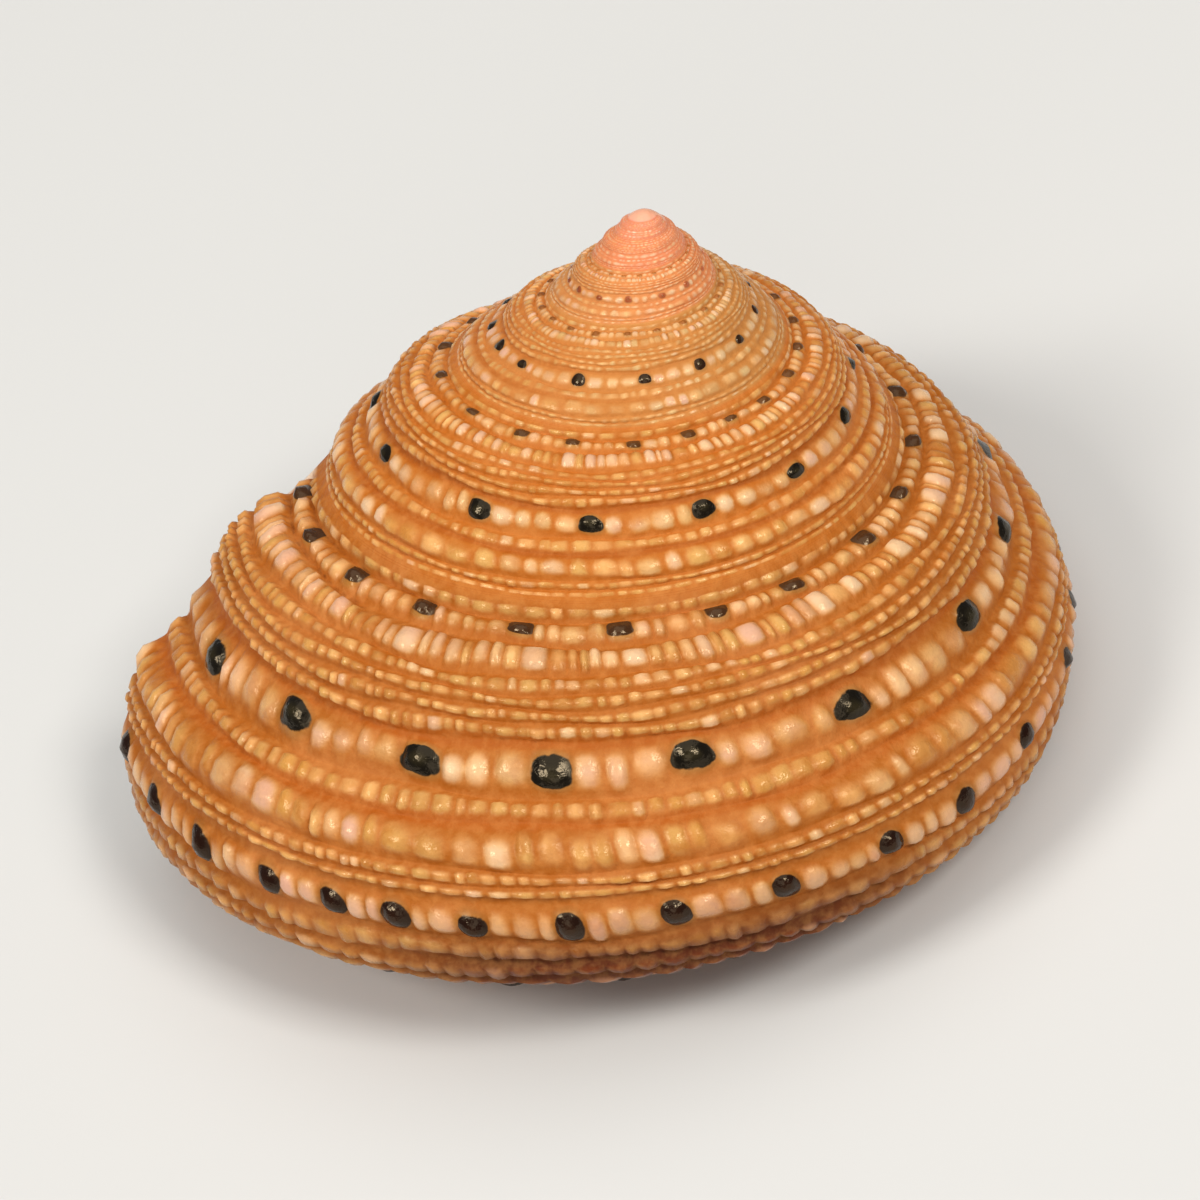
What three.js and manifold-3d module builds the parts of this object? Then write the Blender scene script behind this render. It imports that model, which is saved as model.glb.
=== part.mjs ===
// A strawberry top shell: a low spire of beaded whorls with a round mouth and a toothed pillar.
// Millimetres, +Z up. The apex points up and the back of the shell, away from the mouth, is at -Y.
//
// The whole surface is one section curve that turns about the axis and grows by one ratio per whorl.
// A place on the shell is a turn (1 is a full whorl, 0 is the front, growth runs clockwise from above)
// and a point of the section: radius and depth below the apex, both as shares of FRONT_RADIUS.

import * as THREE from "three";
import Module from "manifold-3d";
import { mergeVertices } from "three/addons/utils/BufferGeometryUtils.js";

const wasm = await Module();
wasm.setup();

// Driving sizes
const FRONT_RADIUS = 10; // of the last whorl at the front, where the turn is 0
const EXPANSION = 1.7385; // growth of every size over one whorl
const LIP_TURN = 100 / 360; // where the last whorl ends, at the suture
const FIRST_TURN = -5.2; // where the coil starts, just under the apex
const APEX_DEPTH = 0.004; // depth of the very tip
const UMBILICUS_TOP = 0.48; // depth at which the umbilicus ends
const REST_LEAN = THREE.MathUtils.degToRad(17); // the axis leans when the shell lies on its base
const REST_LEAN_TOWARDS = THREE.MathUtils.degToRad(46); // direction of that lean, from +X towards +Y
const REST_WEAR = 0.2; // how much is flat under the lowest beads

// Steps along the coil, for the last whorl first
const STEPS_PER_TURN = [96, 72, 54, 36, 24, 16];
const LAG_STEPS = 3; // steps by which the lip runs back between the suture and the line below it

// Section of a whorl: radius, depth, and how far in degrees the growth edge lags there.
// It runs from the suture over the shoulder and the periphery to the base and up the umbilicus.
const SECTION = [
  [0.572, 0.583, 0],
  [0.622, 0.617, 1.5],
  [0.762, 0.68, 4.5],
  [0.838, 0.81, 7],
  [0.945, 0.908, 9],
  [0.994, 1.014, 11.25],
  [0.992, 1.18, 14],
  [0.925, 1.236, 17],
  [0.8, 1.268, 20],
  [0.64, 1.275, 25],
  [0.48, 1.262, 31],
  [0.36, 1.235, 37],
  [0.29, 1.2, 40],
  [0.225, 1.07, 42],
  [0.165, 0.86, 43],
];
const ATTACH = 5; // place in SECTION of the line that the next whorl's suture follows
const SECTION_END = SECTION.length - 1;

// Beaded cords, as places along SECTION, with the grooves half way between them
const UPPER_CORDS = [1, 1.55, 2.3, 3, 3.75, 4.5];
const SPIRE_CORDS = [1, 1.9, 3, 3.75, 4.5];
const YOUNG_CORDS = [1, 3, 4.3];
const BASE_CORDS = [5.28, 6.05, 7, 8, 9, 10];
const RIM = 12; // crenulated edge of the umbilicus
const CORDS_OF_TURN = [UPPER_CORDS, UPPER_CORDS, SPIRE_CORDS, YOUNG_CORDS, YOUNG_CORDS, YOUNG_CORDS];
const BEAD_TOP = 0.013; // heights from the section, as shares of the front radius
const BEAD_GAP = -0.01;
const GROOVE = -0.02;
const BASE_RELIEF = 1; // of the cords on the base beside those above

// Hollow of the last whorl: radius, depth and lag, once round from the corner under the suture
const HOLLOW = [
  [0.648, 0.678, 2],
  [0.745, 0.722, 4.5],
  [0.795, 0.83, 7],
  [0.893, 0.925, 9],
  [0.943, 1.03, 11.5],
  [0.938, 1.135, 14],
  [0.885, 1.183, 17],
  [0.78, 1.21, 20],
  [0.63, 1.217, 25],
  [0.5, 1.205, 30],
  [0.41, 1.17, 35],
  [0.375, 1.08, 38],
  [0.375, 0.95, 37],
  [0.395, 0.83, 33],
  [0.455, 0.775, 25],
  [0.54, 0.757, 15],
  [0.603, 0.722, 6],
];
const HOLLOW_CENTRE = [0.66, 0.97, 18];
const HOLLOW_PAST_LIP = 0.09; // turns
const HOLLOW_LENGTH = 0.62; // turns back from the lip
const HOLLOW_STEP = 0.045;
const HOLLOW_NARROWING = 0.22; // share by which it is narrower at its inner end
const HOLLOW_POINTS = 34;
const RIDGE_HEIGHT = 0.016; // ridges inside the outer lip
const RIDGE_LENGTH = 0.16; // turns back from the lip
const RIDGED_SHARE = 0.6; // of the way round the hollow, from the suture to the pillar

// Tooth at the foot of the pillar
const TOOTH = [0.4, 1.135, 38];
const TOOTH_RADIUS = 0.075;
const TOOTH_BEHIND_LIP = 0.012; // turns

function placeOnCoil(turn, [radius, depth, lag]) {
  const here = turn - lag / 360;
  const size = FRONT_RADIUS * EXPANSION ** here;
  const angle = here * 2 * Math.PI;
  return new THREE.Vector3(
    -size * radius * Math.sin(angle),
    -size * radius * Math.cos(angle),
    -size * depth,
  );
}

const sectionCurve = new THREE.CatmullRomCurve3(
  SECTION.map((point) => new THREE.Vector3(...point)), false, "catmullrom",
);

// The point of the section at a place, moved out by a height
function sectionPoint(place, height) {
  const share = Math.min(Math.max(place / SECTION_END, 0), 1);
  const point = sectionCurve.getPoint(share);
  const along = sectionCurve.getTangent(share);
  const length = Math.hypot(along.x, along.y);
  return [point.x + (height * along.y) / length, point.y - (height * along.x) / length, point.z];
}

// Cord tops and the grooves between them, as places with the height of each at a bead and between beads
function cordColumns(cords, start, end, relief) {
  const columns = [];
  let before = start;
  for (const cord of cords) {
    if (before !== start) {
      columns.push({ place: (before + cord) / 2, bead: GROOVE * relief, gap: GROOVE * relief });
    }
    columns.push({ place: cord, bead: BEAD_TOP * relief, gap: BEAD_GAP * relief });
    before = cord;
  }
  if (end !== null) {
    columns.push({ place: (before + end) / 2, bead: GROOVE * relief, gap: GROOVE * relief });
  }
  return columns;
}

const SUTURE_COLUMN = { place: 0, bead: GROOVE, gap: GROOVE };
const baseColumns = [
  { place: ATTACH, bead: GROOVE, gap: GROOVE },
  ...cordColumns(BASE_CORDS, ATTACH, RIM, BASE_RELIEF),
  { place: RIM, bead: BEAD_TOP * 1.6, gap: BEAD_GAP * 1.6 },
  { place: RIM + 1, bead: 0, gap: 0 },
  { place: SECTION_END, bead: 0, gap: 0 },
];

// A closed surface that is put together from strips between lines of points
class Surface {
  constructor() {
    this.points = [];
    this.triangles = [];
  }

  add(point) {
    this.points.push(point.x, point.y, point.z);
    return this.points.length / 3 - 1;
  }

  triangle(a, b, c) {
    if (a !== b && b !== c && c !== a) {
      this.triangles.push(a, b, c);
    }
  }

  // A strip between two lines of { index, at, peak }, each in rising order of at, whose edges
  // between like places keep off the bead tops
  stitch(first, second) {
    let i = 0;
    let j = 0;
    while (i < first.length - 1 || j < second.length - 1) {
      const firstNext = i < first.length - 1 ? first[i].at + first[i + 1].at : Infinity;
      const secondNext = j < second.length - 1 ? second[j].at + second[j + 1].at : Infinity;
      const beadAhead = Boolean(first[i + 1]?.peak || second[j].peak);
      if (firstNext < secondNext || (firstNext === secondNext && !beadAhead)) {
        this.triangle(first[i].index, first[i + 1].index, second[j].index);
        i += 1;
      } else {
        this.triangle(first[i].index, second[j + 1].index, second[j].index);
        j += 1;
      }
    }
  }

  fan(loop, centre) {
    const middle = this.add(centre);
    loop.forEach((index, i) => this.triangle(index, loop[(i + 1) % loop.length], middle));
  }

  // The surface as a geometry whose faces point out
  geometry() {
    const geometry = new THREE.BufferGeometry();
    geometry.setAttribute("position", new THREE.Float32BufferAttribute(this.points, 3));
    const corner = [0, 1, 2].map(() => new THREE.Vector3());
    let volume = 0;
    for (let i = 0; i < this.triangles.length; i += 3) {
      corner.forEach((point, j) => point.fromArray(this.points, 3 * this.triangles[i + j]));
      volume += corner[0].dot(corner[1].cross(corner[2]));
    }
    geometry.setIndex(volume < 0 ? this.triangles.toReversed() : this.triangles);
    return geometry;
  }
}

function solidOf(geometry) {
  const bare = geometry.clone();
  bare.deleteAttribute("normal");
  bare.deleteAttribute("uv");
  const merged = mergeVertices(bare, 1e-6);
  const mesh = new wasm.Mesh({
    numProp: 3,
    vertProperties: merged.attributes.position.array,
    triVerts: new Uint32Array(merged.index.array),
  });
  return new wasm.Manifold(mesh);
}

function geometryOf(solid) {
  const mesh = solid.getMesh();
  const geometry = new THREE.BufferGeometry();
  geometry.setAttribute("position", new THREE.Float32BufferAttribute(mesh.vertProperties, 3));
  geometry.setIndex([...mesh.triVerts]);
  geometry.computeVertexNormals();
  return geometry;
}

// Stations along the coil, from the apex to the lip: the turn, the whorl counted back from the lip,
// and whether a bead stands there
function stationsAlongCoil() {
  const stations = [];
  let turn = LIP_TURN;
  STEPS_PER_TURN.forEach((steps, whorl) => {
    const count = whorl === 0 ? steps - LAG_STEPS : steps;
    for (let i = 0; i < count && turn > FIRST_TURN; i += 1) {
      stations.push({ turn, whorl, bead: i % 2 === 0 });
      turn -= 1 / steps;
    }
  });
  return stations.reverse();
}

function rowOfPoints(surface, station, columns) {
  return columns.map(({ place, bead, gap }) => {
    const point = sectionPoint(place, station.bead ? bead : gap);
    const index = surface.add(placeOnCoil(station.turn, point));
    const peak = station.bead && bead > gap;
    return { index, at: place, turn: station.turn - point[2] / 360, peak };
  });
}

// The filled shell: every whorl shows from its suture down to the next suture, and the last one
// shows whole, round its base and up into the umbilicus
function filledShell() {
  const surface = new Surface();
  const stations = stationsAlongCoil();
  const lip = stations.length - 1;
  const start = stations.findIndex((station) => station.whorl === 0) - 1;

  const upperRows = stations.map((station) => {
    const columns = [SUTURE_COLUMN, ...cordColumns(CORDS_OF_TURN[station.whorl], 0, null, 1)];
    return rowOfPoints(surface, station, columns);
  });
  const lipSuture = { index: upperRows[lip][0].index, at: ATTACH };
  const wholeRows = upperRows.map((row, i) => {
    if (i < start) {
      return row;
    }
    const base = rowOfPoints(surface, stations[i], baseColumns.slice(i === start ? 1 : 0));
    return i === start ? [...row, lipSuture, ...base] : [...row, ...base];
  });

  for (let i = 0; i < lip; i += 1) {
    surface.stitch(i < start ? upperRows[i] : wholeRows[i], i < start ? upperRows[i + 1] : wholeRows[i + 1]);
  }

  // Each suture follows the lowest line of the whorl before
  const sutureLine = upperRows.map((row) => ({ index: row[0].index, at: row[0].turn }));
  const lowestLine = upperRows.slice(0, start + 1).map((row) => {
    const lowest = row[row.length - 1];
    return { index: lowest.index, at: lowest.turn + 1 };
  });
  const met = sutureLine.findIndex((point) => point.at >= lowestLine[0].at);
  surface.stitch(sutureLine.slice(met), lowestLine);

  // The end at the lip, from the edge of the section to the whorl that it wraps
  const edge = wholeRows[lip].map(({ index, at }) => ({ index, at: at / SECTION_END }));
  const wrapped = wholeRows[start]
    .filter(({ at }) => at >= ATTACH)
    .map(({ index, at }) => ({ index, at: (at - ATTACH) / (SECTION_END - ATTACH) }));
  surface.stitch(edge, wrapped);

  const umbilicus = wholeRows.slice(start).map((row) => row[row.length - 1].index);
  surface.fan(umbilicus.reverse(), new THREE.Vector3(0, 0, -UMBILICUS_TOP * FRONT_RADIUS));

  const firstWhorl = sutureLine.slice(0, met + 1).map(({ index }) => index);
  const firstRow = upperRows[0].slice(1).map(({ index }) => index);
  surface.fan([...firstWhorl, ...firstRow.reverse()], new THREE.Vector3(0, 0, -APEX_DEPTH * FRONT_RADIUS));
  return surface.geometry();
}

// The room inside the last whorl, which opens at the mouth, with ridges inside the outer lip
function hollowOfLastWhorl() {
  const surface = new Surface();
  const points = HOLLOW.map((point) => new THREE.Vector3(...point));
  const curve = new THREE.CatmullRomCurve3(points, true, "catmullrom");
  const centre = new THREE.Vector3(...HOLLOW_CENTRE);
  const steps = Math.round((HOLLOW_PAST_LIP + HOLLOW_LENGTH) / HOLLOW_STEP);
  const rows = [];
  const turns = [];

  for (let step = 0; step <= steps; step += 1) {
    const turn = LIP_TURN + HOLLOW_PAST_LIP - step * HOLLOW_STEP;
    const behind = Math.max(LIP_TURN - turn, 0);
    const narrowing = (HOLLOW_NARROWING * behind) / HOLLOW_LENGTH;
    const ridge = RIDGE_HEIGHT * Math.max(1 - behind / RIDGE_LENGTH, 0);
    const row = [];
    for (let i = 0; i < HOLLOW_POINTS; i += 1) {
      const share = i / HOLLOW_POINTS;
      const point = curve.getPoint(share);
      const isRidge = i % 2 === 1 && share < RIDGED_SHARE;
      const fromCentre = Math.hypot(point.x - centre.x, point.y - centre.y);
      point.lerp(centre, narrowing + (isRidge ? ridge / fromCentre : 0));
      row.push({ index: surface.add(placeOnCoil(turn, point.toArray())), at: i });
    }
    rows.push([...row, { index: row[0].index, at: HOLLOW_POINTS }]);
    turns.push(turn);
  }
  for (let step = 0; step < steps; step += 1) {
    surface.stitch(rows[step], rows[step + 1]);
  }
  const ring = (row) => row.slice(0, HOLLOW_POINTS).map(({ index }) => index);
  surface.fan(ring(rows[0]).reverse(), placeOnCoil(turns[0], HOLLOW_CENTRE));
  surface.fan(ring(rows[steps]), placeOnCoil(turns[steps], HOLLOW_CENTRE));
  return surface.geometry();
}

function toothOfPillar() {
  const tooth = new THREE.IcosahedronGeometry(TOOTH_RADIUS * FRONT_RADIUS, 1);
  const place = placeOnCoil(LIP_TURN - TOOTH_BEHIND_LIP, TOOTH);
  return tooth.translate(place.x, place.y, place.z);
}

// The shell as it lies on its base: the axis leans, and the lowest beads are worn flat
function layOnBase(solid) {
  const geometry = geometryOf(solid);
  const across = new THREE.Vector3(-Math.sin(REST_LEAN_TOWARDS), Math.cos(REST_LEAN_TOWARDS), 0);
  geometry.applyMatrix4(new THREE.Matrix4().makeRotationAxis(across, REST_LEAN));
  geometry.computeBoundingBox();
  const { min, max } = geometry.boundingBox;
  geometry.translate(-(min.x + max.x) / 2, -(min.y + max.y) / 2, -min.z - REST_WEAR);
  const side = 4 * FRONT_RADIUS;
  const ground = new THREE.BoxGeometry(side, side, side).translate(0, 0, -side / 2);
  return solidOf(geometry).subtract(solidOf(ground));
}

const shellSolid = solidOf(filledShell())
  .subtract(solidOf(hollowOfLastWhorl()))
  .add(solidOf(toothOfPillar()));

const shellMaterial = new THREE.MeshStandardMaterial({
  color: 0xd8854a,
  roughness: 0.3,
  metalness: 0,
});
const shell = new THREE.Mesh(geometryOf(layOnBase(shellSolid)), shellMaterial);
shell.name = "shell";

const topShell = new THREE.Group();
topShell.add(shell);

export default topShell;
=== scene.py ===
# A strawberry top shell as one fine mesh: every cord of the coil is a strip of separate beads.
# Metres, in the frame of the CAD part. The shell is made upright, with its apex at the origin and
# its axis along Z, and is then laid on its base as the CAD part lies.
#
# A place on the shell is a turn (1 is a full whorl, 0 is the front, growth runs clockwise from
# above) and a point of the section, which is numbered along SECTION from the suture downward.

import math

import bpy
import numpy as np
from mathutils import Matrix, Vector


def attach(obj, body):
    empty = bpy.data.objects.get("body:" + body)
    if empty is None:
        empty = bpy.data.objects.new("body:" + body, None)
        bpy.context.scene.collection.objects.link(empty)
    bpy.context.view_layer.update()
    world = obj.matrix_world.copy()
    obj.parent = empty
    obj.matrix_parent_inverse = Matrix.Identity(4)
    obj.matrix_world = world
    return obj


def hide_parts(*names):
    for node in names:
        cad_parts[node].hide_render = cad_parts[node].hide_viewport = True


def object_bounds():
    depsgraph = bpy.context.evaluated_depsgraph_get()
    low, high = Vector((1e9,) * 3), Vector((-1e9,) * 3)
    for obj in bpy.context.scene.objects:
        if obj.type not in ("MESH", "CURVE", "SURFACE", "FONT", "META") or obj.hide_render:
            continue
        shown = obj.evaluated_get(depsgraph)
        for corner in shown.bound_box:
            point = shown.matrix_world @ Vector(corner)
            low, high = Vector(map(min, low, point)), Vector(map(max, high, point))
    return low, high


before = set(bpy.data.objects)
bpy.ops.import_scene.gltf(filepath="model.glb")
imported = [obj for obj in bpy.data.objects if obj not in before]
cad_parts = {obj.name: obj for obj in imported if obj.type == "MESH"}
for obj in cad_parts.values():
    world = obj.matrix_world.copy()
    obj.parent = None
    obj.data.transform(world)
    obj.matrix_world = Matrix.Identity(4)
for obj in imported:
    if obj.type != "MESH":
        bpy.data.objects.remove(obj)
cad_low, cad_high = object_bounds()

# Driving sizes, the same as the CAD part's
FRONT_RADIUS = 0.010
EXPANSION = 1.7385
LIP_TURN = 100 / 360
FIRST_TURN = -5.2
APEX_DEPTH = 0.004
TIP_DEPTH = 0.026
UMBILICUS_TOP = 0.48
REST_LEAN = math.radians(17)
REST_LEAN_TOWARDS = math.radians(46)

# Section of a whorl: radius and depth as shares of the front radius, and the lag in degrees
SECTION = np.array([
    [0.572, 0.583, 0],
    [0.622, 0.617, 1.5],
    [0.762, 0.68, 4.5],
    [0.838, 0.81, 7],
    [0.945, 0.908, 9],
    [0.994, 1.014, 11.25],
    [0.992, 1.18, 14],
    [0.925, 1.236, 17],
    [0.8, 1.268, 20],
    [0.64, 1.275, 25],
    [0.48, 1.262, 31],
    [0.36, 1.235, 37],
    [0.29, 1.2, 40],
    [0.225, 1.07, 42],
    [0.165, 0.86, 43],
])
ATTACH = 5
RIM = 12
SECTION_END = len(SECTION) - 1
START_TURN = LIP_TURN - 1 + SECTION[ATTACH][2] / 360
DOWN_WHORL = np.linspace(0, 1, ATTACH + 1)

# Hollow of the last whorl, once round from the corner under the suture
HOLLOW = np.array([
    [0.648, 0.678, 2],
    [0.745, 0.722, 4.5],
    [0.795, 0.83, 7],
    [0.893, 0.925, 9],
    [0.943, 1.03, 11.5],
    [0.938, 1.135, 14],
    [0.885, 1.183, 17],
    [0.78, 1.21, 20],
    [0.63, 1.217, 25],
    [0.5, 1.205, 30],
    [0.41, 1.17, 35],
    [0.375, 1.08, 38],
    [0.375, 0.95, 37],
    [0.395, 0.83, 33],
    [0.455, 0.775, 25],
    [0.54, 0.757, 15],
    [0.603, 0.722, 6],
])
HOLLOW_CENTRE = np.array([0.66, 0.97, 18])
HOLLOW_LENGTH = 0.62
HOLLOW_NARROWING = 0.22
HOLLOW_POINTS = 168
RIDGES = 24
RIDGE_HEIGHT = 0.016
RIDGE_LENGTH = 0.16
TOOTH = np.array([0.4, 1.135, 38])
TOOTH_RADIUS = 0.085
TOOTH_HEIGHT = 0.06

GROOVE = -0.014
GROOVE_HALF = 0.02
SEAM = 0.003
SEAM_ABOVE = 0.1
SEAM_BELOW = 0.28
SEAM_PLACES = [SEAM_BELOW, 0.6, 4.7, ATTACH - SEAM_ABOVE, ATTACH + GROOVE_HALF, 5.3]
WOBBLE = 0.03
BEAD_STEPS = [5, 4, 3, 2, 2, 2]
BEADS_SMALLER_PER_WHORL = 1.3
SMOOTH_TIP_TURN = -4.6
BEADED_TURN = -3.2
FIRST_MARK_TURN = -3.5

# The coil isn't quite even: its left side stands higher, and its first whorls are slimmer
LEFT_TURN = 0.25
LEFT_RISE = 0.034
LEFT_RISE_OUT = 0.6
LEFT_RISE_UP = 0.8
LEFT_RISE_WHORLS = [-1.5, -0.8, 0.1, 0.7]
SLIM_SHARE = 0.15
SLIM_LEVELS = [-3.1, -2.0]

# Dark marks of each cord, as degrees from the front, for the last whorl and those before it
SHOULDER_MARKS = [
    [94, 75, 54, 33, 15, -4, -28, -55, -78],
    [101, 76, 42, 15, -12, -39, -66, -92],
    [120, 60, 31, 2, -24, -51, -78],
    [111, 66, 42, 16, -13, -39, -69],
]
SUTURE_MARKS = [
    [93, 78, 61, 44, 25, 7, -11, -27, -47, -64, -83],
    [107, 87, 62, 42, 25, 6, -12, -28, -43],
    [33, 13, -24, -44],
]
PERIPHERY_MARKS = [[83, 71, 60, 48, 39, 31, 22, 11, -1, -14, -28, -40, -54, -71]]


class Cord:
    """One spiral row of beads: its middle, its lower groove, its height and its bead length.

    across is the number of vertices across it, and a high dome makes its beads flatter on top.
    """

    def __init__(self, name, place, until, top, bead, across, dome=2.1):
        self.name = name
        self.place = place
        self.until = until
        self.top = top
        self.bead = bead
        self.across = across
        self.dome = dome
        self.marks = []
        self.spacing = None
        self.mark_width = 0.0
        self.mark_shift = 0.0
        self.mark_tall = 1.0

    def marked(self, marks, spacing, width, shift=0.0, tall=1.0):
        """Gives the cord dark marks: degrees, mean spacing, width, and place and height across."""
        self.marks = marks
        self.spacing = spacing / 360
        self.mark_width = width / 360
        self.mark_shift = shift
        self.mark_tall = tall
        return self


UPPER_CORDS = [
    Cord("hem", 0.5, 0.76, 0.008, 0.042, 4),
    Cord("first", 1.04, 1.25, 0.009, 0.034, 5).marked(SUTURE_MARKS, 18, 4.8, -0.3, 0.85),
    Cord("second", 1.48, 1.7, 0.01, 0.03, 5, 2.6),
    Cord("third", 1.84, 1.95, 0.003, 0.034, 4),
    Cord("fourth", 2.06, 2.17, 0.005, 0.036, 4),
    Cord("fifth", 2.28, 2.38, 0.002, 0.033, 4),
    Cord("sixth", 2.48, 2.62, 0.006, 0.036, 4),
    Cord("shoulder", 2.98, 3.3, 0.013, 0.059, 7, 1.7).marked(SHOULDER_MARKS, 24, 5.8, 0, 0.64),
    Cord("eighth", 3.48, 3.66, 0.006, 0.04, 4),
    Cord("ninth", 4.1, 4.43, 0.011, 0.057, 6, 1.8),
    Cord("tenth", 4.58, 4.72, 0.003, 0.038, 4),
    Cord("eleventh", 4.81, 5.0, 0.003, 0.04, 4),
]
BASE_CORDS = [
    Cord("periphery", 5.27, 5.48, 0.01, 0.052, 7, 1.9).marked(PERIPHERY_MARKS, 12, 3.4, 0, 0.76),
    Cord("under_1", 5.62, 5.78, 0.006, 0.046, 4),
    Cord("under_2", 5.94, 6.12, 0.006, 0.05, 4),
    Cord("under_3", 6.36, 6.62, 0.006, 0.054, 4),
    Cord("under_4", 6.88, 7.16, 0.007, 0.056, 4).marked([[5]], 15, 3.8),
    Cord("under_5", 7.44, 7.74, 0.007, 0.056, 4),
    Cord("under_6", 8.06, 8.38, 0.007, 0.056, 4).marked([[9]], 17, 4.6),
    Cord("under_7", 8.7, 9.05, 0.007, 0.056, 4),
    Cord("under_8", 9.4, 9.75, 0.008, 0.058, 4).marked([[1]], 21, 6),
    Cord("under_9", 10.1, 10.5, 0.009, 0.06, 4),
    Cord("under_10", 10.9, 11.3, 0.01, 0.062, 4),
    Cord("rim", 11.75, 12.4, 0.022, 0.07, 6),
    Cord("funnel_1", 12.75, 13.1, 0.004, 0.07, 4),
    Cord("funnel_2", 13.4, 14.0, 0.002, 0.07, 4),
]

VALUES = ["height", "whorl", "place", "tone", "white", "mark_along", "mark_across", "inside"]
NO_MARK = 9.0
# Kinds of beads: a common one, a dark mark and a large pale one
BEAD = 0
DARK = 1
BLOB = 2
BLOB_WIDTH = 4.4
random = np.random.default_rng(20)


def section_point(places, heights):
    """Points of the section at places along it, moved out by heights."""
    share = np.clip(places, 0, SECTION_END)
    first = np.minimum(np.floor(share).astype(int), SECTION_END - 1)
    part = (share - first)[..., None]
    padded = np.vstack([2 * SECTION[0] - SECTION[1], SECTION, 2 * SECTION[-1] - SECTION[-2]])
    a, b, c, d = (padded[first + step] for step in range(4))
    linear = c - a
    square = 2 * a - 5 * b + 4 * c - d
    cube = -a + 3 * b - 3 * c + d
    point = 0.5 * (2 * b + linear * part + square * part ** 2 + cube * part ** 3)
    along = linear + 2 * square * part + 3 * cube * part ** 2
    along /= np.hypot(along[..., 0], along[..., 1])[..., None]
    point[..., 0] += heights * along[..., 1]
    point[..., 1] -= heights * along[..., 0]
    return point


def wobbled(places, turns):
    """Places along the section moved a little, so that the cords aren't quite even."""
    wave = np.sin(2 * np.pi * (6.7 * turns + 0.9 * places))
    wave = wave + 0.6 * np.sin(2 * np.pi * (15.3 * turns + 2.1 * places))
    window = np.clip(np.minimum(places, np.abs(places - ATTACH)) / 0.4, 0, 1)
    window *= np.clip((SECTION_END - places) / 0.4, 0, 1)
    return places + WOBBLE * wave * window


def place_on_coil(turns, section):
    """Points in space for turns and points of the section."""
    here = turns - section[..., 2] / 360
    size = FRONT_RADIUS * EXPANSION ** here
    angle = here * 2 * np.pi
    level = np.log(EXPANSION ** here * section[..., 1]) / math.log(EXPANSION)
    reach = size * section[..., 0] * (1 - np.interp(level, SLIM_LEVELS, [SLIM_SHARE, 0]))
    # Down one side of the shell, whorls are counted by whole turns and by how far down each they are
    side = (here + 0.5) % 1 - 0.5
    down = here - side + np.interp(section[..., 1], SECTION[:ATTACH + 1, 1], DOWN_WHORL)
    leftness = np.cos(np.clip((side - LEFT_TURN) / LEFT_TURN, -1, 1) * np.pi / 2) ** 2
    rise = LEFT_RISE * FRONT_RADIUS * leftness * np.interp(down, LEFT_RISE_WHORLS, [0, 1, 1, 0])
    reach = reach + rise * LEFT_RISE_OUT
    x = -reach * np.sin(angle)
    y = -reach * np.cos(angle)
    return np.stack([x, y, -size * section[..., 1] + rise * LEFT_RISE_UP], -1)


class Skin:
    """A triangle mesh put together from strips, with values for the material at each vertex."""

    def __init__(self):
        self.points = []
        self.values = {name: [] for name in VALUES}
        self.triangles = []
        self.count = 0

    def add(self, points, **values):
        shape = points.shape[:-1]
        number = int(np.prod(shape))
        self.points.append(points.reshape(-1, 3))
        for name in VALUES:
            value = np.broadcast_to(values.get(name, NO_MARK if name == "mark_along" else 0.0), shape)
            self.values[name].append(np.array(value, float).reshape(-1))
        index = np.arange(self.count, self.count + number).reshape(shape)
        self.count += number
        return index

    def grid(self, index):
        a = index[:-1, :-1].reshape(-1)
        b = index[1:, :-1].reshape(-1)
        c = index[1:, 1:].reshape(-1)
        d = index[:-1, 1:].reshape(-1)
        self.triangles.append(np.stack([a, b, c], 1))
        self.triangles.append(np.stack([a, c, d], 1))

    def stitch(self, first, first_at, second, second_at):
        """A strip between two lines of vertices, each in rising order of at."""
        made = []
        i = 0
        j = 0
        while i < len(first) - 1 or j < len(second) - 1:
            first_next = first_at[i] + first_at[i + 1] if i < len(first) - 1 else math.inf
            second_next = second_at[j] + second_at[j + 1] if j < len(second) - 1 else math.inf
            if first_next < second_next:
                made.append((first[i], first[i + 1], second[j]))
                i += 1
            else:
                made.append((first[i], second[j + 1], second[j]))
                j += 1
        self.triangles.append(np.array(made))

    def fan(self, loop, centre, **values):
        middle = self.add(np.array([centre]), **values)[0]
        loop = np.asarray(loop)
        following = np.roll(loop, -1)
        self.triangles.append(np.stack([loop, following, np.full(len(loop), middle)], 1))


def marks_along(cord, start, end):
    """Turns of the dark marks of a cord: those seen, then more at the mean spacing."""
    if cord.spacing is None:
        return np.array([])
    lag = section_point(np.array([cord.place]), np.array([0.0]))[0, 2]
    marks = []
    for whorl, degrees in enumerate(cord.marks):
        marks += [(degree + lag) / 360 - whorl for degree in degrees]
    marks.sort(reverse=True)
    spacing = cord.spacing
    start = max(start, FIRST_MARK_TURN)
    shown = [marks[0]]
    for mark in marks[1:]:
        gap = shown[-1] - mark
        missing = max(round(gap / spacing) - 1, 0) if gap > 1.7 * spacing else 0
        for step in range(missing):
            shown.append(shown[-1] - gap / (missing + 1))
        shown.append(mark)
    while shown[-1] - spacing > start:
        shown.append(shown[-1] - spacing * random.uniform(0.85, 1.15))
    shown.reverse()
    while shown[-1] + spacing < end:
        shown.append(shown[-1] + spacing * random.uniform(0.85, 1.15))
    return np.array([mark for mark in shown if start < mark < end])


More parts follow.
